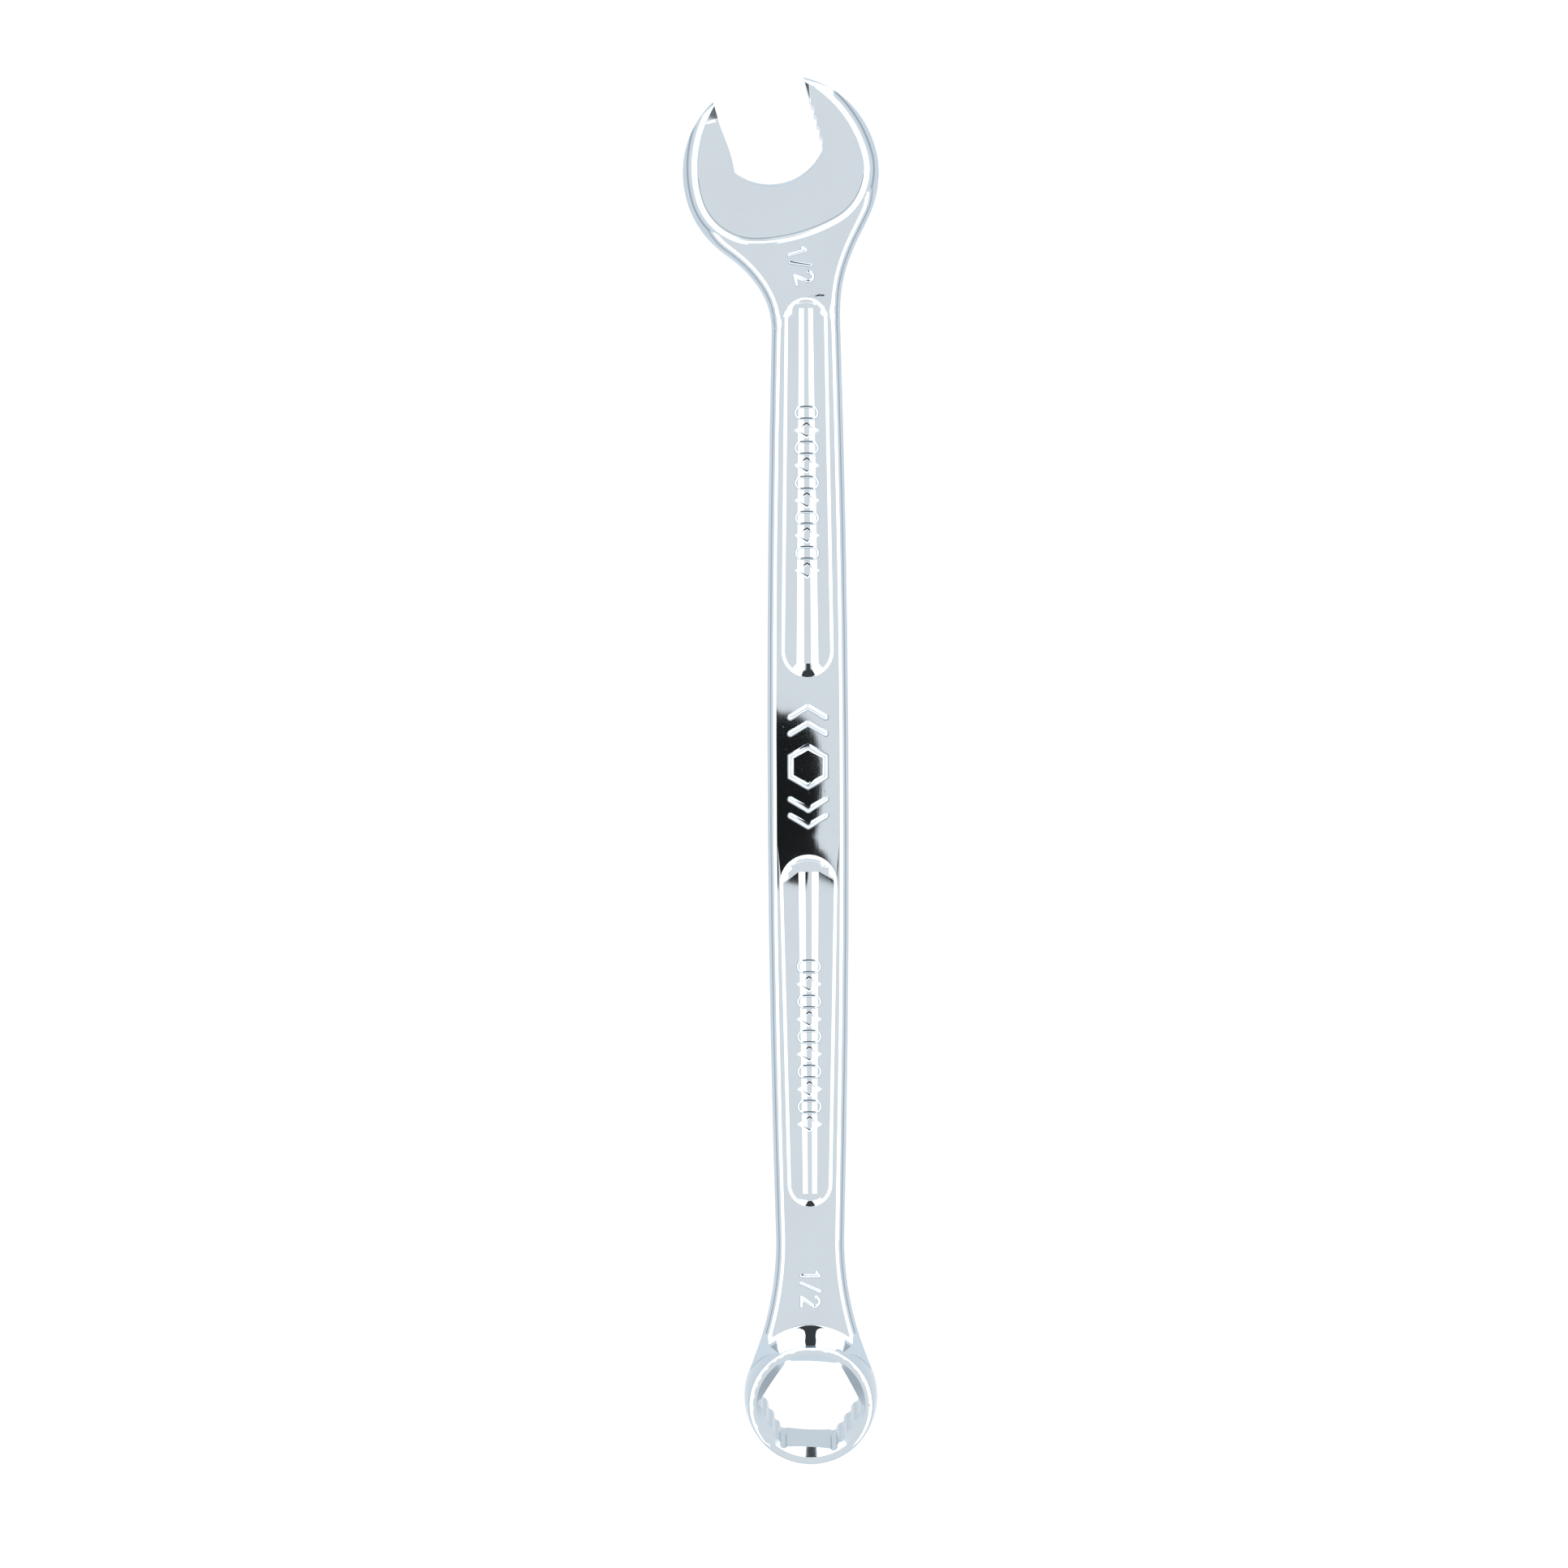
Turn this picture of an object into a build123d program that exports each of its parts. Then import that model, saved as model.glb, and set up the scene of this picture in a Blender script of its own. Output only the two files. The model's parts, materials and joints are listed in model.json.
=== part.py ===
from build123d import *
from math import atan2, cos, degrees, radians, sin, sqrt
import os

# Combination wrench for a 1/2 in hexagon: an open-end head turned 15 degrees, a flat shank with two
# recessed panels on each face, and a six-point box end tilted 15 degrees. It is one drop forging
# with no moving parts. The forging is shaped whole and then divided at two planes across the shank,
# and the raised marks are solids of their own that sit on it.
#
# While it is shaped, +Y runs along the shank to the open end, +Z is up through the flat faces, and
# Z = 0 is the forging's parting plane. The last section moves everything so that the origin is the
# bottom centre of the whole wrench.

# ---- driving dimensions, mm and degrees
ACROSS_FLATS = 12.8            # the hexagon of the box end: 12.7 nominal with its clearance

SHANK_HALF = 2.75              # half thickness of the shank and of the webs
SHANK_ROUND = 1.3              # rounding along the shank's edges
SHANK_HEAD_END = (4.86, 61.5)  # half width, and where the shank starts to flare to the head
SHANK_MIDDLE = (5.72, 0.0)
SHANK_RING_END = (4.80, -66.0)

HEAD_TURN = 15.0               # the jaw opening leans this far from the shank's line
HEAD_X, HEAD_Y = -3.45, 84.1   # centre of the open-end head
HEAD_RADIUS = 13.8
HEAD_BODY_HALF = 3.05
HEAD_FACE_HALF = 3.20          # the ground crescent faces stand a little above the body
HEAD_ROUND = 2.1
TIP_ROUND = 0.9                # rounding of the head's outline where the crescent reaches it
JAW_LEFT, JAW_RIGHT = -6.15, 6.60   # contact faces; the gap takes a 12.7 nut with 0.05 to spare
JAW_LEFT_RELIEF = -6.55        # the left face falls back towards its tip
JAW_ROOT = 1.7                 # where the jaw faces meet the throat
THROAT_DEPTH = 1.5             # the throat's lowest point below the head's centre
THROAT_CHAMFER, THROAT_DROP = 0.45, 0.55    # across the middle of the throat, and down it
TIP_START, TIP_LEAN = 9.7, 3.0      # the left jaw's tip facet: where it starts, and its slope
TOOTH_PITCH, TOOTH_RADIUS, TOOTH_DEPTH, TOOTH_COUNT = 1.5, 0.9, 0.3, 4
FIRST_TOOTH = 2.9              # middle of the tooth nearest the throat

RING_TILT = 15.0
COLLAR_SLOPE, COLLAR_DROP = 0.727, 3.6      # run per unit of fall, and fall, of the slope from ring to neck
COLLAR_SINK = 0.16             # top of that slope below the ring's face
COLLAR_ROUND = 1.5             # hollow where it leaves the neck's top flat
RING_Y, RING_Z = -88.1, -1.5   # centre of the box end
RING_RADIUS = 9.4              # widest, at mid height
RING_RIM = 8.71                # outer edge of the flat annulus on each face
RING_MOUTH = 7.68              # inner edge of that annulus, where the lead-in cone starts
RING_HALF = 4.3
LEAD_IN, LEAD_IN_DEPTH = 1.5, 0.9   # the lead-in cones, across and deep
HEX_TURN = -3.0
CORNER_RELIEF, CORNER_INSET = 0.55, 0.42    # round reliefs in the hexagon's corners
GROOVE_RADIUS, GROOVE_STEP, GROOVE_SINK = 0.75, 1.9, 0.35

PANEL_DEPTH = 0.12
PANEL_WALL = 0.38              # how far the panel's shallow walls lean in from rim to floor
PANEL_ROUND = 0.3              # along the rim and along the floor
BAR_HEIGHT = 0.10              # the centre bar's flat crown above the panel's floor
BAR_CROWN = 0.34               # width of that crown as a share of the bar's width
BAR_BLEND = 0.04               # width of the blends along the crown and along the bar's foot
BAR_ROOT = 0.2                 # how far bars and ramps are sunk below the panel's floor to join it
RAMP_LEAD = 2.4                # a ramp's cone has its point this far back along the bar
RAMP_FLARE = 0.9               # how much a ramp widens on each side for its length
RAMP_SINK = 0.02               # top of a ramp below the panel's rim
# each panel: (head end, half width there, ring end, half width there), then its bar the same way
UPPER_PANEL, UPPER_BAR = (66.5, 2.95, 13.2, 3.62), (65.0, 0.95, 15.1, 1.52)
LOWER_PANEL, LOWER_BAR = (-11.8, 4.00, -61.2, 3.08), (-14.2, 1.40, -59.4, 0.95)

HEAD_SEAM, RING_SEAM = 67.4, -66.0  # planes across the shank where the forging is divided

MARK_HEIGHT = 0.22             # how far the raised marks stand above what they sit on
STROKE = 0.50                  # width of their lines
PANEL_STROKE = 0.36            # width of the lines of the marks over the bars
PANEL_MARKS_FROM = (50.3, -27.5)    # middle of each panel's first mark
PANEL_MARK_COUNT, PANEL_MARK_PITCH = 10, 2.46
EMBLEM_STROKE = 0.9            # width of the lines of the emblem between the panels
EMBLEM_Y = 0.6                 # middle of the emblem

# ---- planes
head_plane = Plane(
    origin=(HEAD_X, HEAD_Y, 0),
    x_dir=(cos(radians(HEAD_TURN)), sin(radians(HEAD_TURN)), 0),
    z_dir=(0, 0, 1),
)
ring_axis = Vector(0, -sin(radians(RING_TILT)), cos(radians(RING_TILT)))
ring_plane = Plane(origin=(0, RING_Y, RING_Z), x_dir=(1, 0, 0), z_dir=ring_axis)
ring_section = Plane(origin=ring_plane.origin, x_dir=(1, 0, 0), z_dir=-ring_plane.y_dir)


def on_head(angle):
    """A point of the head's rim, at an angle from +X."""
    return Vector(HEAD_X + HEAD_RADIUS * cos(radians(angle)), HEAD_Y + HEAD_RADIUS * sin(radians(angle)))


def crescent(outset):
    """Outline of the head's crescent face, moved outwards; its two side arcs meet above the jaws."""
    side, corner, foot = 16.55 + outset, 7.9 + outset, 23.6 + outset
    side_centre, corner_centre, level = 4.8, 3.85, -0.5
    apex = (0, level + sqrt(side**2 - side_centre**2))
    # the foot arc's centre, so that it is tangent to both corner arcs
    foot_centre = level + sqrt((foot - corner) ** 2 - corner_centre**2)
    lean = Vector(corner_centre, level - foot_centre).normalized()
    touch = Vector(0, foot_centre) + lean * foot
    shoulder = (corner_centre + corner, level)
    with BuildLine() as outline:
        RadiusArc(apex, shoulder, side)
        RadiusArc(shoulder, touch, corner)
        RadiusArc(touch, (-touch.X, touch.Y), foot)
        RadiusArc((-touch.X, touch.Y), (-shoulder[0], level), corner)
        RadiusArc((-shoulder[0], level), apex, side)
    return outline


def shank_outline():
    """Plan of the shank and both necks, ending inside the head and inside the ring."""
    left_touch, right_touch, ring_touch = 234.0, -25.0, 20.7
    mirrored = (-SHANK_RING_END[0], SHANK_RING_END[1])
    with BuildLine() as outline:
        right = ThreePointArc(SHANK_RING_END, SHANK_MIDDLE, SHANK_HEAD_END)
        right_neck = Spline(
            right @ 1, (5.33, 69.3), (7.0, 74.1), on_head(right_touch),
            tangents=(right % 1, Vector(0, 1).rotate(Axis.Z, right_touch)),
        )
        right_end = JernArc(right_neck @ 1, right_neck % 1, 8.5, 60)
        left = ThreePointArc(
            mirrored, (-SHANK_MIDDLE[0], SHANK_MIDDLE[1]), (-SHANK_HEAD_END[0], SHANK_HEAD_END[1])
        )
        left_neck = Spline(
            left @ 1, (-5.75, 66.45), (-8.2, 70.05), on_head(left_touch),
            tangents=(left % 1, Vector(0, -1).rotate(Axis.Z, left_touch)),
        )
        left_end = JernArc(left_neck @ 1, left_neck % 1, 8.5, -60)
        Line(right_end @ 1, left_end @ 1)
        ring_ends = []
        for start, turn in ((SHANK_RING_END, 1), (mirrored, -1)):
            flare = JernArc(start, (0, -1), 45, turn * ring_touch)
            wall = PolarLine(flare @ 1, 3.1, direction=flare % 1)
            ring_ends.append(JernArc(wall @ 1, wall % 1, 5, -turn * 45) @ 1)
        Line(*ring_ends)
    return outline


def tapered_slot(panel, height, inset):
    """A panel's outline at a height: round at both ends, and wider at one of them."""
    head_end, head_half, ring_end, ring_half = panel
    with BuildSketch(Plane.XY.offset(height)) as slot:
        with Locations((0, head_end - head_half)):
            Circle(head_half - inset)
        with Locations((0, ring_end + ring_half)):
            Circle(ring_half - inset)
        make_hull()
    return slot


def bar_section(y, half_width):
    """Section of a centre bar: a flat crown, sloping sides, and a narrow blend along each of their edges."""
    floor, crown = SHANK_HALF - PANEL_DEPTH, half_width * BAR_CROWN
    slope = BAR_HEIGHT / (half_width - crown)
    fall = slope * BAR_BLEND / 2
    right = [
        (crown - BAR_BLEND / 2, floor + BAR_HEIGHT),
        (crown + BAR_BLEND / 2, floor + BAR_HEIGHT - fall),
        (half_width - BAR_BLEND / 2, floor + fall),
        (half_width + BAR_BLEND / 2, floor),
        (half_width + BAR_BLEND / 2, floor - BAR_ROOT),
    ]
    left = [(-x, z) for x, z in reversed(right)]
    with BuildSketch(Plane.XZ.offset(-y)) as section:
        with BuildLine():
            Polyline(*right, *left, close=True)
        make_face()
    return section


def ramp(bar_end, bar_half, panel_end):
    """A conical ramp from the end of a bar up to the end of its panel, as wide as the bar and flaring."""
    reach = abs(panel_end - bar_end)
    toward = 1 if panel_end > bar_end else -1
    point = bar_end - toward * RAMP_LEAD
    floor, wide = SHANK_HALF - PANEL_DEPTH, bar_half + RAMP_FLARE * reach
    with BuildPart() as made:
        with BuildSketch(Plane(origin=(0, point, 0), x_dir=(0, toward, 0), z_dir=(toward, 0, 0))):
            with BuildLine():
                Polyline(
                    (RAMP_LEAD, floor), (RAMP_LEAD + reach, SHANK_HALF - RAMP_SINK),
                    (RAMP_LEAD + reach + 0.3, floor - BAR_ROOT), (RAMP_LEAD, floor - BAR_ROOT), close=True,
                )
            make_face()
        revolve(axis=Axis((0, point, 0), (0, 0, 1)))
        with BuildSketch(Plane.XY.offset(floor - BAR_ROOT)):
            Polygon((bar_half, bar_end), (wide, panel_end), (wide, panel_end + toward),
                    (-wide, panel_end + toward), (-wide, panel_end), (-bar_half, bar_end), align=None)
        extrude(amount=BAR_ROOT + PANEL_DEPTH, mode=Mode.INTERSECT)
    return made


# ---- shank and necks, one blank with rounded edges
with BuildPart() as blank:
    with BuildSketch():
        add(shank_outline())
        make_face()
    extrude(amount=SHANK_HALF, both=True)
    rims = blank.edges().filter_by(Plane.XY).filter_by(lambda e: e.length < 10 or
                                                       e.geom_type != GeomType.LINE)
    fillet(rims, SHANK_ROUND)

# ---- panels cut into both faces
with BuildPart() as panels:
    for panel in (UPPER_PANEL, LOWER_PANEL):
        rim = tapered_slot(panel, SHANK_HALF, 0)
        floor = tapered_slot(panel, SHANK_HALF - PANEL_DEPTH, PANEL_WALL)
        loft([rim.sketch, floor.sketch], ruled=True)
    mirror(about=Plane.XY)

# ---- centre bars and the ramps at their ends
with BuildPart() as bars:
    for head_end, head_half, ring_end, ring_half in (UPPER_BAR, LOWER_BAR):
        ends = bar_section(head_end, head_half), bar_section(ring_end, ring_half)
        loft([end.sketch for end in ends], ruled=True)
    mirror(about=Plane.XY)

with BuildPart() as ramps:
    for panel, bar in ((UPPER_PANEL, UPPER_BAR), (LOWER_PANEL, LOWER_BAR)):
        for end in (0, 2):
            add(ramp(bar[end], bar[end + 1], panel[end]).part)
    mirror(about=Plane.XY)

# ---- open-end head
with BuildPart() as crescent_body:
    with BuildSketch():
        add(crescent(HEAD_ROUND))
        make_face()
    extrude(amount=HEAD_BODY_HALF, both=True)
    fillet(crescent_body.edges().filter_by(Plane.XY), HEAD_ROUND)

with BuildPart() as crescent_faces:
    with BuildSketch():
        add(crescent(-0.06))
        make_face()
    extrude(amount=HEAD_FACE_HALF, both=True)
    chamfer(crescent_faces.edges().filter_by(Plane.XY), 0.1)

with BuildPart() as head_limit:
    with BuildSketch():
        Circle(HEAD_RADIUS)
    extrude(amount=HEAD_FACE_HALF, both=True)
    fillet(head_limit.edges().filter_by(GeomType.CIRCLE), TIP_ROUND)

with BuildPart() as head:
    with BuildSketch():
        Circle(HEAD_RADIUS)
    extrude(amount=SHANK_HALF, both=True)
    fillet(head.edges().filter_by(GeomType.CIRCLE), HEAD_ROUND)
    add(crescent_body.part)
    add(crescent_faces.part)
    add(head_limit.part, mode=Mode.INTERSECT)

# ---- box end: a barrel of revolution about the tilted axis, with a collar that runs into the neck
with BuildPart() as barrel:
    with BuildSketch(ring_section):
        with BuildLine():
            Polyline((0, -RING_HALF), (RING_RIM, -RING_HALF))
            ThreePointArc((RING_RIM, -RING_HALF), (RING_RADIUS, 0), (RING_RIM, RING_HALF))
            Polyline((RING_RIM, RING_HALF), (0, RING_HALF), (0, -RING_HALF))
        make_face()
    revolve(axis=Axis(ring_plane.origin, ring_axis))
    rims = barrel.edges().filter_by(GeomType.CIRCLE).filter_by(lambda e: e.radius < RING_RIM + 0.01)
    fillet(rims, 0.2)

with BuildPart() as collar:
    top, foot_reach = RING_HALF - COLLAR_SINK, RING_RIM + COLLAR_SLOPE * COLLAR_DROP
    with BuildSketch(ring_section):
        with BuildLine():
            Polyline(
                (0, top), (RING_RIM, top), (foot_reach, top - COLLAR_DROP),
                (foot_reach, COLLAR_DROP - top), (RING_RIM, -top), (0, -top), close=True,
            )
        make_face()
    revolve(axis=Axis(ring_plane.origin, ring_axis))
    with BuildSketch():
        add(shank_outline())
        make_face()
    extrude(amount=2 * SHANK_HALF, both=True, mode=Mode.INTERSECT)

# ---- what is cut from both sides of the neck, so that its shoulders fall away to the ring
with BuildPart() as shoulders:
    start, edge, lean = 75.5, 5.9, 0.953   # where the cut starts, its half width at the flats, its slope
    tall = 5.7
    wide = edge + lean * SHANK_HALF
    narrow = wide - lean * tall
    with BuildSketch(Plane.XZ.offset(start)):
        Rectangle(30, 4 * tall)
        Polygon((wide, 0), (narrow, tall), (-narrow, tall), (-wide, 0), (-narrow, -tall), (narrow, -tall),
                align=None, mode=Mode.SUBTRACT)
    extrude(amount=20)

with BuildPart() as hexagon:
    with BuildSketch(ring_plane):
        RegularPolygon(ACROSS_FLATS / 2, 6, major_radius=False, rotation=HEX_TURN)
        with PolarLocations(ACROSS_FLATS / sqrt(3) - CORNER_INSET, 6, start_angle=HEX_TURN):
            Circle(CORNER_RELIEF)
        for far_flat in (-150, -30):
            for step in (-1, 0, 1):
                along = Vector(ACROSS_FLATS / 2 + GROOVE_SINK - GROOVE_RADIUS, step * GROOVE_STEP)
                with Locations(along.rotate(Axis.Z, far_flat + HEX_TURN)):
                    Circle(GROOVE_RADIUS)
    extrude(amount=2 * RING_HALF, both=True)
    with BuildSketch(ring_section):
        for side in (1, -1):
            with BuildLine():
                Polyline(
                    (0, side * RING_HALF), (0, side * (RING_HALF + 1)),
                    (RING_MOUTH + LEAD_IN / LEAD_IN_DEPTH, side * (RING_HALF + 1)),
                    (RING_MOUTH - LEAD_IN, side * (RING_HALF - LEAD_IN_DEPTH)),
                    (0, side * (RING_HALF - LEAD_IN_DEPTH)), close=True,
                )
            make_face()
    revolve(axis=Axis(ring_plane.origin, ring_axis))

# ---- jaw gap, in the head's own plane
with BuildPart() as jaw_gap:
    with BuildSketch(Plane.XY):
        with BuildLine():
            left_face = Spline(
                (JAW_LEFT_RELIEF, 9.5), (JAW_LEFT, 4.6), (JAW_LEFT - 0.12, JAW_ROOT),
                tangents=((0, -1), (-0.1, -1)),
            )
            throat = ThreePointArc(left_face @ 1, (0, -THROAT_DEPTH), (JAW_RIGHT, JAW_ROOT))
            Polyline(throat @ 1, (JAW_RIGHT, 20), (JAW_LEFT_RELIEF, 20), left_face @ 0)
        make_face()
        for tooth in range(TOOTH_COUNT):
            with Locations((JAW_RIGHT + TOOTH_DEPTH - TOOTH_RADIUS, FIRST_TOOTH + tooth * TOOTH_PITCH)):
                Circle(TOOTH_RADIUS)
    extrude(amount=2 * SHANK_HALF, both=True)

with BuildPart() as throat_chamfer:
    # a crescent-shaped chamfer, widest in the middle of the throat and nothing at the jaws' roots
    above = 0.1
    levels = (
        (HEAD_FACE_HALF + above, THROAT_CHAMFER * (1 + above / THROAT_DROP)),
        (HEAD_FACE_HALF - THROAT_DROP, -0.01),
    )
    for height, back in levels:
        with BuildSketch(Plane.XY.offset(height)):
            with BuildLine():
                ThreePointArc((JAW_LEFT - 0.12, JAW_ROOT), (0.16, -THROAT_DEPTH - back), (JAW_RIGHT, JAW_ROOT))
                Line((JAW_RIGHT, JAW_ROOT), (JAW_LEFT - 0.12, JAW_ROOT))
            make_face()
    loft(ruled=True)
    mirror(about=Plane.XY)

with BuildPart() as tip_facets:
    # the left jaw's tip is ground back on both faces
    with Locations(Location((-10, TIP_START, HEAD_FACE_HALF), (-TIP_LEAN, 0, 0))):
        Box(7.4, 8, 3, align=(Align.CENTER, Align.MIN, Align.MIN))
    mirror(about=Plane.XY)

# ---- the whole forging
with BuildPart() as forging:
    add(blank.part)
    add(panels.part, mode=Mode.SUBTRACT)
    for height in (SHANK_HALF, SHANK_HALF - PANEL_DEPTH):
        edges_there = forging.edges().filter_by(lambda e: abs(abs(e.center().Z) - height) < 0.01)
        in_panels = edges_there.filter_by(lambda e: abs(e.center().X) < 4.1)
        fillet(in_panels.filter_by(lambda e: -62 < e.center().Y < 67), PANEL_ROUND)
    add(bars.part)
    add(ramps.part)
    add(head.part.moved(head_plane.location))
    add(collar.part)
    add(shoulders.part, mode=Mode.SUBTRACT)
    neck_edges = forging.edges().filter_by(lambda e: abs(e.center().Z - SHANK_HALF) < 0.05)
    fillet(neck_edges.filter_by(lambda e: abs(e.center().X) < 1 and -81 < e.center().Y < -76), COLLAR_ROUND)
    add(barrel.part)
    add(hexagon.part, mode=Mode.SUBTRACT)
    for cut in (jaw_gap, throat_chamfer, tip_facets):
        add(cut.part.moved(head_plane.location), mode=Mode.SUBTRACT)

# ---- the forging divided into its three regions
with BuildPart() as open_end_head:
    add(forging.part)
    split(bisect_by=Plane.XZ.offset(-HEAD_SEAM), keep=Keep.BOTTOM)

with BuildPart() as box_end_ring:
    add(forging.part)
    split(bisect_by=Plane.XZ.offset(-RING_SEAM), keep=Keep.TOP)

with BuildPart() as shank:
    add(forging.part)
    split(bisect_by=Plane.XZ.offset(-HEAD_SEAM), keep=Keep.TOP)
    split(bisect_by=Plane.XZ.offset(-RING_SEAM), keep=Keep.BOTTOM)


# ---- raised marks, on both faces
def stroke(start, end, width=STROKE):
    """One round-ended line of a mark."""
    run = Vector(*end) - Vector(*start)
    with Locations((Vector(*start) + Vector(*end)) / 2):
        SlotCenterToCenter(run.length, width, rotation=degrees(atan2(run.Y, run.X)))


two_curl = CenterArc((1.65, 0.6), 0.65, -30, 200)


def size_figures(x, y, along):
    """The nominal size, one half, reading down the shank on both faces."""
    with BuildPart() as figures:
        for up in (1, -1):
            face = Plane(origin=(x, y, up * SHANK_HALF), x_dir=along, z_dir=(0, 0, up))
            with BuildSketch(face):
                stroke((-1.95, -1.25), (-1.95, 1.25))
                stroke((-2.45, 0.85), (-1.95, 1.25))
                stroke((-0.95, -1.35), (0.25, 1.35))
                stroke((1.0, -1.25), (2.35, -1.25))
                stroke((1.0, -1.25), (2.2, 0.25))
                SlotArc(two_curl, STROKE)
            extrude(amount=MARK_HEIGHT)
    return figures


head_size_marks = size_figures(-0.66, 70.9, (sin(radians(HEAD_TURN)), -cos(radians(HEAD_TURN)), 0))
ring_size_marks = size_figures(0, -72.9, (0, -1, 0))

with BuildPart() as panel_marks:
    # links and diamonds in turn across each bar
    mark_base, mark_top = SHANK_HALF - PANEL_DEPTH, SHANK_HALF - PANEL_DEPTH + BAR_HEIGHT + 0.14
    with BuildSketch(Plane.XY.offset(mark_base)):
        for first in PANEL_MARKS_FROM:
            for place in range(PANEL_MARK_COUNT):
                with Locations((0, first - place * PANEL_MARK_PITCH)):
                    if place % 2:
                        Polygon((1.75, 0), (0, 1.15), (-1.75, 0), (0, -1.15), align=None)
                        Polygon((1.08, 0), (0, 0.71), (-1.08, 0), (0, -0.71), align=None, mode=Mode.SUBTRACT)
                    else:
                        SlotOverall(3.5, 2.0)
                        SlotOverall(3.5 - 2 * PANEL_STROKE, 2.0 - 2 * PANEL_STROKE, mode=Mode.SUBTRACT)
    extrude(amount=mark_top - mark_base)
    mirror(about=Plane.XY)
    add(shank.part, mode=Mode.SUBTRACT)

with BuildPart() as shank_emblem:
    with BuildSketch(Plane.XY.offset(SHANK_HALF)):
        with Locations((0, EMBLEM_Y)):
            RegularPolygon(3.35, 6, rotation=30)
            RegularPolygon(3.35 - EMBLEM_STROKE * 2 / sqrt(3), 6, rotation=30, mode=Mode.SUBTRACT)
        for toward in (1, -1):
            for level in (4.6, 6.9):
                for side in (1, -1):
                    stroke((side * 2.5, EMBLEM_Y + toward * level), (0, EMBLEM_Y + toward * (level + 1.5)),
                           EMBLEM_STROKE)
    extrude(amount=MARK_HEIGHT)
    mirror(about=Plane.XY)

# ---- the origin goes to the bottom centre of the whole wrench, and each piece is written
box = forging.part.bounding_box()
to_origin = Location((-box.center().X, -box.center().Y, -box.min.Z))
os.makedirs("parts", exist_ok=True)
for name, piece in (
    ("open_end_head", open_end_head),
    ("shank", shank),
    ("box_end_ring", box_end_ring),
    ("head_size_marks", head_size_marks),
    ("ring_size_marks", ring_size_marks),
    ("panel_marks", panel_marks),
    ("shank_emblem", shank_emblem),
):
    piece.part.move(to_origin)
    piece.part.label = name
    export_step(piece.part, f"parts/{name}.step")
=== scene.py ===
"""Looks of a polished combination wrench.

Smooth chrome skins over the forging and its raised marks, and a white studio whose softboxes, dark lens
and dark mast are what the chrome mirrors.
"""

import json
from math import cos, radians, sin, tan

import bpy
from mathutils import Matrix, Vector


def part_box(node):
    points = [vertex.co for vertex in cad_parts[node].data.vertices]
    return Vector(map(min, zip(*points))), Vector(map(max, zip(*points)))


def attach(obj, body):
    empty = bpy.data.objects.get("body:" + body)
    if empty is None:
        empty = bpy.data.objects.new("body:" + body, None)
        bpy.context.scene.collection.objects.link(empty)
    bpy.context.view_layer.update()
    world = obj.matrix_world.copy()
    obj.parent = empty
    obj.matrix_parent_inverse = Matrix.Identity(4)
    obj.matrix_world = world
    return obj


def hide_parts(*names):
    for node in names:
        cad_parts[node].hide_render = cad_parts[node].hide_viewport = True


bl_info = {
    "name": "Combination Wrench Looks",
    "version": (1, 0, 0),
    "blender": (4, 5, 0),
    "location": "3D View > Sidebar > Wrench",
    "description": "Chrome skins, raised marks and a white studio for a combination wrench",
    "category": "Object",
}

MM = 0.001
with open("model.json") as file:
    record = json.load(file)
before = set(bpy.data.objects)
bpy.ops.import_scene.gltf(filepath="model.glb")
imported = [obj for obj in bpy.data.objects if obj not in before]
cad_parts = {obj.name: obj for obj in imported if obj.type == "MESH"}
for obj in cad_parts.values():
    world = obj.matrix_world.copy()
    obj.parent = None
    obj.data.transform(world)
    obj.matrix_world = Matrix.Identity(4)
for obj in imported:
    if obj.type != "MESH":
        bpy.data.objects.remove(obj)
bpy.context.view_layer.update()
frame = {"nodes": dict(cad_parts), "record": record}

FORGING = ("open_end_head", "shank", "box_end_ring")
MARKS = ("head_size_marks", "ring_size_marks", "panel_marks", "shank_emblem")


def mount(name):
    """Place and direction of one of the wrench's mounts."""
    found = next(m for m in frame["record"]["mounts"] if m["name"] == name)
    return Vector(found["pos_m"]), Vector(found["axis"])


HEAD_TURN = radians(15)             # the jaw's lean to the left of the shank
JAW_WAY = Vector((-sin(HEAD_TURN), cos(HEAD_TURN), 0))
HEAD_CENTRE = mount("head_top")[0] + JAW_WAY * 5 * MM
RING_CENTRE, RING_AXIS = mount("box_end_hex")
SHANK_LOW, SHANK_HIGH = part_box("shank")
MIDDLE_Z = (SHANK_LOW.z + SHANK_HIGH.z) / 2      # the forging's parting plane

RING_MOUTH = 7.60 * MM              # radius inside which the box end's walls are left unpolished
JAW_REACH = 7.10 * MM               # the same to each side of the jaw's middle line
THROAT_END = -2.2 * MM              # and how far below the head's centre the throat's wall lies
TIP_SLACK = 3.5 * MM                # from the farthest tip back to where the head's flat meets the floor
FLOOR_GAP = 0.02 * MM


# ---- settings that a user would change
class ChromeSettings(bpy.types.PropertyGroup):
    tint: bpy.props.FloatVectorProperty(
        name="Chrome tint", description="Colour that the plating gives to what it reflects",
        subtype="COLOR", size=3, min=0, max=1, default=(0.575, 0.635, 0.68),
    )
    haze: bpy.props.FloatProperty(
        name="Haze", description="Roughness of the polished plating", min=0.005, max=0.5, default=0.012,
    )
    satin: bpy.props.FloatProperty(
        name="Satin", description="Roughness inside the openings, where no polishing wheel reaches",
        min=0.01, max=0.8, default=0.12,
    )
    ripple: bpy.props.FloatProperty(
        name="Ripple depth", description="Depth of the slow ripple that hand polishing leaves",
        subtype="DISTANCE", unit="LENGTH", min=0, max=0.0005, default=0.000012,
    )
    hairlines: bpy.props.FloatProperty(
        name="Hairlines", description="How much the fine polishing lines roughen the plating", min=0, max=1,
        default=0.35,
    )


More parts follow.
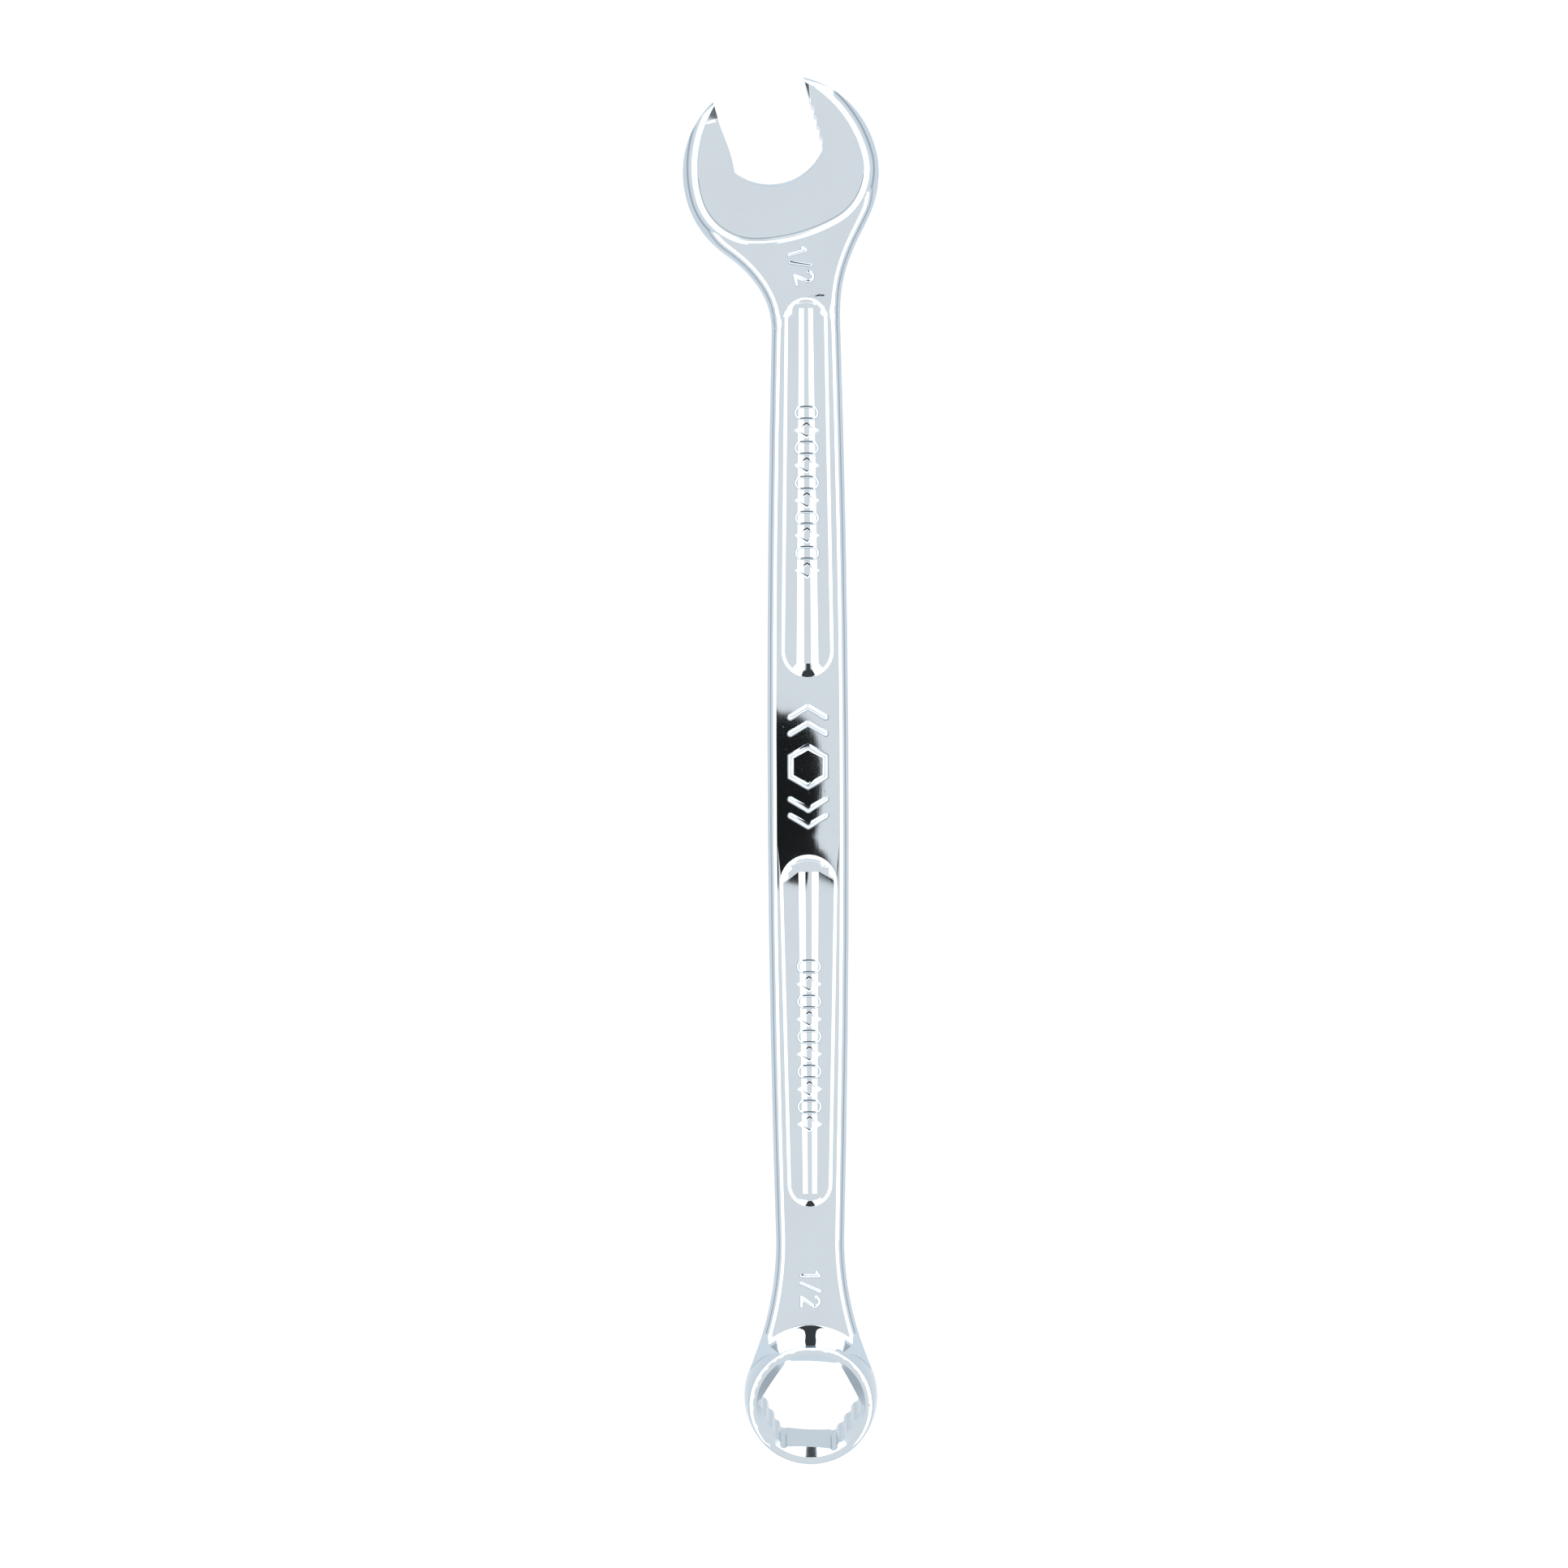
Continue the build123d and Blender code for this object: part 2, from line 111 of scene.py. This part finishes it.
class StudioSettings(bpy.types.PropertyGroup):
    floor_size: bpy.props.FloatProperty(
        name="Floor size", description="Width of the square white floor", subtype="DISTANCE", unit="LENGTH",
        min=0.5, default=6.0,
    )
    floor_white: bpy.props.FloatProperty(
        name="Floor white", description="Whiteness of the floor's own glow", min=0, max=2, default=0.93,
    )
    tent: bpy.props.FloatProperty(
        name="Tent", description="Brightness of the white tent round the object", min=0, default=1.10,
    )
    softbox: bpy.props.FloatProperty(
        name="Softboxes", description="Brightness of the ring of softboxes overhead", min=0, default=2.3,
    )
    horizon: bpy.props.FloatProperty(
        name="Horizon", description="Brightness of the tent near the floor", min=0, default=0.62,
    )


class CameraSettings(bpy.types.PropertyGroup):
    height: bpy.props.FloatProperty(
        name="Height", description="Distance from the top flat of the shank to the camera",
        subtype="DISTANCE", unit="LENGTH", min=0.2, default=1.0,
    )
    view_width: bpy.props.FloatProperty(
        name="View width", description="Width that the camera sees at the top flat of the shank",
        subtype="DISTANCE", unit="LENGTH", min=0.05, default=0.2203,
    )
    aim: bpy.props.FloatVectorProperty(
        name="Aim", description="Point of the shank under the middle of the view", subtype="XYZ_LENGTH",
        unit="LENGTH", size=2, default=(0.00006, -0.00176),
    )
    roll: bpy.props.FloatProperty(
        name="Roll", description="Turn of the camera about its own line of sight", subtype="ANGLE",
        default=radians(-0.26),
    )


# ---- shader maths
class Shade:
    """A socket with Python's operators, so that shader maths reads as plain expressions."""

    def __init__(self, tree, socket):
        self.tree, self.socket = tree, socket

    def maths(self, operation, a, b=None):
        made = self.tree.nodes.new("ShaderNodeMath")
        made.operation = operation
        for socket, value in zip(made.inputs, (a, b)):
            if value is not None:
                give(self.tree, socket, value)
        return Shade(self.tree, made.outputs[0])

    def __add__(self, other): return self.maths("ADD", self, other)
    def __radd__(self, other): return self.maths("ADD", other, self)
    def __sub__(self, other): return self.maths("SUBTRACT", self, other)
    def __rsub__(self, other): return self.maths("SUBTRACT", other, self)
    def __mul__(self, other): return self.maths("MULTIPLY", self, other)
    def __rmul__(self, other): return self.maths("MULTIPLY", other, self)
    def __truediv__(self, other): return self.maths("DIVIDE", self, other)

    def root(self): return self.maths("SQRT", self)
    def size(self): return self.maths("ABSOLUTE", self)

    def rise(self, low, high):
        """0 below low, 1 above high, and smooth in between."""
        return add_node(self.tree, "ShaderNodeMapRange", {"interpolation_type": "SMOOTHSTEP"}, Value=self,
                        From_Min=low, From_Max=high, To_Min=0.0, To_Max=1.0)

    def larger(self, other):
        return self.maths("MAXIMUM", self, other)

    def band(self, low, high, soft):
        """1 between low and high, and 0 outside, with soft ends."""
        return self.rise(low - soft, low + soft) * (1 - self.rise(high - soft, high + soft))


def give(tree, socket, value):
    if isinstance(value, Shade):
        tree.links.new(value.socket, socket)
    else:
        socket.default_value = value


def add_node(tree, kind, settings=None, out=0, **values):
    """Adds one node. settings are set first, then values are given to the sockets of those names."""
    made = tree.nodes.new(kind)
    for name, value in (settings or {}).items():
        setattr(made, name, value)
    for name, value in values.items():
        give(tree, made.inputs[name.replace("_", " ")], value)
    return Shade(tree, made.outputs[out])


def split_axes(tree, vector):
    made = tree.nodes.new("ShaderNodeSeparateXYZ")
    give(tree, made.inputs[0], vector)
    return [Shade(tree, s) for s in made.outputs]


def colour_mix(tree, factor, first, second):
    made = tree.nodes.new("ShaderNodeMix")
    made.data_type = "RGBA"
    give(tree, made.inputs["Factor"], factor)
    colours = [s for s in made.inputs if s.type == "RGBA"]
    for socket, value in zip(colours, (first, second)):
        give(tree, socket, value if isinstance(value, Shade) else (*value, 1.0))
    return Shade(tree, next(s for s in made.outputs if s.type == "RGBA"))


# ---- chrome
def scaled(colour, amount):
    return tuple(c * amount for c in colour)


def plated_steel(name, haze, hairlines, ripple, walls=False):
    """Chrome plate over a polished forging: a slow ripple, fine polishing lines and a faint haze."""
    look = bpy.context.scene.wrench_chrome
    made = bpy.data.materials.new(name)
    made.use_nodes = True
    tree = made.node_tree
    tree.nodes.clear()
    place = add_node(tree, "ShaderNodeTexCoord", out=3)
    x, y, z = split_axes(tree, place)

    cloud = add_node(tree, "ShaderNodeTexNoise", Vector=place, Scale=90.0, Detail=3.0, Roughness=0.5)
    smear = add_node(tree, "ShaderNodeTexNoise", Vector=place, Scale=420.0, Detail=4.0, Roughness=0.6)
    along = add_node(tree, "ShaderNodeMapping", Vector=place, Scale=(9000.0, 260.0, 9000.0))
    lines = add_node(tree, "ShaderNodeTexNoise", Vector=along, Scale=1.0, Detail=2.0, Roughness=0.7)
    specks = add_node(tree, "ShaderNodeTexVoronoi", Vector=place, Scale=700.0, Randomness=1.0)
    speck = 1 - specks.rise(0.05, 0.12)

    rough = haze + cloud.rise(0.4, 0.7) * 0.005 + lines.rise(0.52, 0.72) * (0.015 * hairlines) + speck * 0.02
    if walls:
        drawn = add_node(tree, "ShaderNodeMapping", Vector=place, Scale=(2600.0, 2600.0, 140.0))
        drawn = add_node(tree, "ShaderNodeTexNoise", Vector=drawn, Scale=1.0, Detail=3.0, Roughness=0.6)
        unpolished = inside_openings(tree, x, y, z)
        rough = rough + unpolished * (0.4 + drawn * 0.6) * look.satin

    tint = look.tint
    colour = colour_mix(tree, cloud.rise(0.35, 0.65), scaled(tint, 0.985), tint)
    colour = colour_mix(tree, smear.rise(0.55, 0.8) * 0.25, colour, scaled(tint, 0.93))
    colour = colour_mix(tree, speck * 0.10, colour, scaled(tint, 0.62))

    slow = add_node(tree, "ShaderNodeTexNoise", Vector=place, Scale=75.0, Detail=0.0)
    wave = add_node(tree, "ShaderNodeBump", Strength=1.0, Distance=ripple, Height=slow)
    fine = add_node(tree, "ShaderNodeBump", Strength=1.0, Distance=0.00000006, Height=lines, Normal=wave)

    shader = tree.nodes.new("ShaderNodeBsdfPrincipled")
    shader.inputs["Metallic"].default_value = 1.0
    give(tree, shader.inputs["Base Color"], colour)
    give(tree, shader.inputs["Roughness"], rough)
    give(tree, shader.inputs["Normal"], fine)
    out = tree.nodes.new("ShaderNodeOutputMaterial")
    tree.links.new(shader.outputs[0], out.inputs["Surface"])
    return made


def inside_openings(tree, x, y, z):
    """1 on the walls of the hexagon and of the jaw gap, and 0 elsewhere."""
    lean = add_node(tree, "ShaderNodeNewGeometry", out=1)
    steep = 1 - split_axes(tree, lean)[2].size().rise(0.30, 0.55)
    away_x, away_y, away_z = x - RING_CENTRE.x, y - RING_CENTRE.y, z - RING_CENTRE.z
    along = away_y * RING_AXIS.y + away_z * RING_AXIS.z
    across = (away_x * away_x + away_y * away_y + away_z * away_z - along * along).root()
    ring = 1 - across.rise(RING_MOUTH - 0.05 * MM, RING_MOUTH + 0.02 * MM)
    head_x, head_y = x - HEAD_CENTRE.x, y - HEAD_CENTRE.y
    beside = head_x * cos(HEAD_TURN) + head_y * sin(HEAD_TURN)
    ahead = head_y * cos(HEAD_TURN) - head_x * sin(HEAD_TURN)
    between = 1 - (beside - 0.2 * MM).size().rise(JAW_REACH - 0.1 * MM, JAW_REACH)
    jaws = between * ahead.rise(THROAT_END, THROAT_END + 0.2 * MM) * steep
    return ring.larger(jaws)


# ---- pieces
def skin_of(node_name, piece_name):
    """A copy of a CAD node's mesh with its doubles merged and its normals led by the flat faces."""
    mesh = frame["nodes"][node_name].data.copy()
    piece = bpy.data.objects.new(piece_name, mesh)
    mesh.name = piece_name
    bpy.context.scene.collection.objects.link(piece)
    bpy.ops.object.select_all(action="DESELECT")
    piece.select_set(True)
    bpy.context.view_layer.objects.active = piece
    bpy.ops.object.mode_set(mode="EDIT")
    bpy.ops.mesh.select_mode(type="EDGE")
    bpy.ops.mesh.select_all(action="SELECT")
    bpy.ops.mesh.remove_doubles(threshold=2e-6)
    bpy.ops.mesh.customdata_custom_splitnormals_clear()
    bpy.ops.mesh.faces_shade_smooth()
    bpy.ops.mesh.mark_sharp(clear=True)
    bpy.ops.mesh.select_all(action="DESELECT")
    bpy.ops.mesh.edges_select_sharp(sharpness=radians(20))
    bpy.ops.mesh.mark_sharp()
    bpy.ops.object.mode_set(mode="OBJECT")
    weigh = piece.modifiers.new("flats lead", "WEIGHTED_NORMAL")
    weigh.mode = "FACE_AREA"
    weigh.keep_sharp = True
    bpy.ops.object.modifier_apply(modifier=weigh.name)
    return piece


def roll_top(piece, reach, drop):
    """Rolls the outer faces of raised marks over towards their edges, on both sides of the wrench."""
    bpy.ops.object.select_all(action="DESELECT")
    piece.select_set(True)
    bpy.context.view_layer.objects.active = piece
    for side in (1, -1):
        bpy.ops.object.mode_set(mode="EDIT")
        bpy.ops.mesh.select_mode(type="FACE")
        bpy.ops.mesh.select_all(action="DESELECT")
        bpy.ops.object.mode_set(mode="OBJECT")
        for face in piece.data.polygons:
            face.select = face.normal.z * side > 0.99 and (face.center.z - MIDDLE_Z) * side > 0
        bpy.ops.object.mode_set(mode="EDIT")
        bpy.ops.transform.translate(value=(0, 0, -side * drop))
        bpy.ops.mesh.inset(thickness=reach, depth=drop, use_boundary=True, use_even_offset=True)
    bpy.ops.mesh.select_mode(type="EDGE")
    bpy.ops.mesh.select_all(action="SELECT")
    bpy.ops.mesh.mark_sharp(clear=True)
    bpy.ops.object.mode_set(mode="OBJECT")
    bpy.ops.object.shade_smooth_by_angle(angle=radians(50))


def dress(piece, material, node_name):
    piece.data.materials.clear()
    piece.data.materials.append(material)
    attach(piece, "root")
    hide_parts(node_name)


class WRENCH_OT_forging(bpy.types.Operator):
    """Chrome skins over the open-end head, the shank and the box end"""
    bl_idname = "wrench.forging"
    bl_label = "Chrome forging"

    def execute(self, context):
        look = context.scene.wrench_chrome
        chrome = plated_steel("polished chrome", look.haze, look.hairlines, look.ripple, walls=True)
        for node_name in FORGING:
            piece = skin_of(node_name, node_name + "_skin")
            dress(piece, chrome, node_name)
        return {"FINISHED"}


class WRENCH_OT_marks(bpy.types.Operator):
    """Chrome over the raised size figures, the panel marks and the emblem"""
    bl_idname = "wrench.marks"
    bl_label = "Raised marks"

    def execute(self, context):
        look = context.scene.wrench_chrome
        chrome = plated_steel("raised mark chrome", look.haze * 1.3, look.hairlines * 0.5, look.ripple)
        for node_name in MARKS:
            piece = skin_of(node_name, node_name + "_skin")
            if node_name == "shank_emblem":
                roll_top(piece, 0.30 * MM, 0.07 * MM)
            else:
                roll_top(piece, 0.13 * MM, 0.045 * MM)
            dress(piece, chrome, node_name)
        return {"FINISHED"}


class WRENCH_OT_floor(bpy.types.Operator):
    """White floor that both ends of the wrench rest on"""
    bl_idname = "wrench.floor"
    bl_label = "White floor"

    def execute(self, context):
        studio = context.scene.wrench_studio
        head_low, head_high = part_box("open_end_head")
        rest = min((v.co for v in frame["nodes"]["box_end_ring"].data.vertices), key=lambda co: co.z)
        rise = (head_low.z - rest.z) / (head_high.y - TIP_SLACK - rest.y)
        bpy.ops.object.select_all(action="DESELECT")
        bpy.ops.mesh.primitive_plane_add(size=studio.floor_size, location=(0, 0, 0))
        floor = context.active_object
        floor.name = "studio_floor"
        floor.data.transform(Matrix.Rotation(rise, 4, "X"))
        floor.data.transform(Matrix.Translation((0, 0, rest.z - tan(rise) * rest.y - FLOOR_GAP)))
        made = bpy.data.materials.new("white floor")
        made.use_nodes = True
        tree = made.node_tree
        tree.nodes.clear()
        place = add_node(tree, "ShaderNodeTexCoord", out=3)
        grain = add_node(tree, "ShaderNodeTexNoise", Vector=place, Scale=900.0, Detail=2.0)
        white = colour_mix(tree, grain, (0.105, 0.106, 0.107), (0.115, 0.116, 0.117))
        shader = tree.nodes.new("ShaderNodeBsdfPrincipled")
        give(tree, shader.inputs["Base Color"], white)
        shader.inputs["Roughness"].default_value = 0.6
        # painted light: the camera sees the floor glow plain white, but the chrome mirrors a dimmer glow.
        # That glow is a painted shade of the floor near the wrench, and it fades to a painted dark
        # reflection where the floor lies 0.13 to 0.26 m and more ahead.
        seen = add_node(tree, "ShaderNodeLightPath", out=0)
        ahead = split_axes(tree, place)[1].rise(0.13, 0.26)
        painted_reflected_floor = colour_mix(tree, ahead, (0.80, 0.85, 0.895), (0.34, 0.36, 0.38))
        give(tree, shader.inputs["Emission Color"], colour_mix(tree, seen, painted_reflected_floor, (1.0, 1.0, 1.0)))
        shader.inputs["Emission Strength"].default_value = studio.floor_white
        out = tree.nodes.new("ShaderNodeOutputMaterial")
        tree.links.new(shader.outputs[0], out.inputs["Surface"])
        floor.data.materials.append(made)
        return {"FINISHED"}


class WRENCH_OT_lights(bpy.types.Operator):
    """White tent with a ring of softboxes overhead and the dark lens in its middle"""
    bl_idname = "wrench.lights"
    bl_label = "Tent and softboxes"

    def execute(self, context):
        studio = context.scene.wrench_studio
        world = bpy.data.worlds.new("white tent")
        context.scene.world = world
        world.use_nodes = True
        tree = world.node_tree
        tree.nodes.clear()
        way = add_node(tree, "ShaderNodeTexCoord", out=0)
        x, y, z = split_axes(tree, way)
        off_axis = (x * x + y * y).root()
        tent = studio.horizon + (studio.tent - studio.horizon) * z.rise(0.15, 0.50)

        # softboxes: a ring overhead, broken by two plain strips behind, and one wide box ahead
        back = -1 * y
        overhead = off_axis.band(0.103, 0.66, 0.004) * z.rise(0.3, 0.5)
        behind = (1 - x.size().rise(0.085, 0.10)) * (back.band(0.11, 0.25, 0.01) + back.rise(0.46, 0.48))
        sideways = x.size() / y.larger(0.001)
        ahead = (1 - sideways.rise(0.74, 0.84)) * y.rise(0.10, 0.11) * z.rise(0.03, 0.08)
        boxes = (overhead * (1 - behind)).larger(ahead)

        # dark things: a mast ahead with a body that widens towards it, and the lens straight above
        mast = (1 - x.size().rise(0.098, 0.112)) * y.band(0.42, 1.2, 0.01) * z.rise(-0.02, 0.03)
        body_side = x.size() - 0.35 * y
        body = (1 - body_side.rise(-0.036, -0.016)) * y.band(0.112, 0.43, 0.006)
        lens_x, lens_y = (x + 0.0110) / 0.0180, (y + 0.0020) / 0.0128
        lens_x, lens_y = lens_x * lens_x, lens_y * lens_y
        lens = (1 - (lens_x * lens_x + lens_y * lens_y).rise(0.97, 1.03)) * z.rise(-0.02, 0.02)

        light = tent + boxes * (studio.softbox - tent)
        light = light * (1 - lens * 0.985) * (1 - mast.larger(body) * 0.97)
        colour = colour_mix(tree, z.rise(0.1, 0.9), (0.93, 0.99, 1.06), (1.0, 1.0, 1.0))
        seen = add_node(tree, "ShaderNodeLightPath", out=0)
        plain = 1.0 - 0.04 * (1 - z.size().rise(0.0, 0.4))
        strength = light + (plain - light) * seen
        shader = tree.nodes.new("ShaderNodeBackground")
        give(tree, shader.inputs["Color"], colour)
        give(tree, shader.inputs["Strength"], strength)
        out = tree.nodes.new("ShaderNodeOutputWorld")
        tree.links.new(shader.outputs[0], out.inputs["Surface"])
        context.scene.view_settings.view_transform = "Standard"
        return {"FINISHED"}


class WRENCH_OT_camera(bpy.types.Operator):
    """Camera straight above the wrench"""
    bl_idname = "wrench.camera"
    bl_label = "Camera"

    def execute(self, context):
        view = context.scene.wrench_camera
        place = (view.aim[0], view.aim[1], SHANK_HIGH.z + view.height)
        bpy.ops.object.select_all(action="DESELECT")
        bpy.ops.object.camera_add(location=place, rotation=(0, 0, view.roll))
        camera = context.active_object
        camera.name = "studio_camera"
        camera.data.sensor_width = 36
        camera.data.lens = 36 * view.height / view.view_width
        camera.data.clip_start, camera.data.clip_end = 0.01, 50
        context.scene.camera = camera
        return {"FINISHED"}


class WRENCH_PT_looks(bpy.types.Panel):
    bl_idname = "WRENCH_PT_looks"
    bl_label = "Combination Wrench"
    bl_space_type = "VIEW_3D"
    bl_region_type = "UI"
    bl_category = "Wrench"

    def draw(self, context):
        for step in STEPS:
            self.layout.operator(step.bl_idname)
        for group in ("wrench_chrome", "wrench_studio", "wrench_camera"):
            settings = getattr(context.scene, group)
            for name in settings.__annotations__:
                self.layout.prop(settings, name)


STEPS = (WRENCH_OT_forging, WRENCH_OT_marks, WRENCH_OT_floor, WRENCH_OT_lights, WRENCH_OT_camera)
GROUPS = {"wrench_chrome": ChromeSettings, "wrench_studio": StudioSettings, "wrench_camera": CameraSettings}


def register():
    for made in (*GROUPS.values(), *STEPS, WRENCH_PT_looks):
        bpy.utils.register_class(made)
    for name, group in GROUPS.items():
        setattr(bpy.types.Scene, name, bpy.props.PointerProperty(type=group))


def unregister():
    for name in GROUPS:
        delattr(bpy.types.Scene, name)
    for made in reversed((*GROUPS.values(), *STEPS, WRENCH_PT_looks)):
        bpy.utils.unregister_class(made)


def main():
    register()
    bpy.ops.wrench.forging()
    bpy.ops.wrench.marks()
    bpy.ops.wrench.floor()
    bpy.ops.wrench.lights()
    bpy.ops.wrench.camera()


if __name__ == "__main__":
    main()
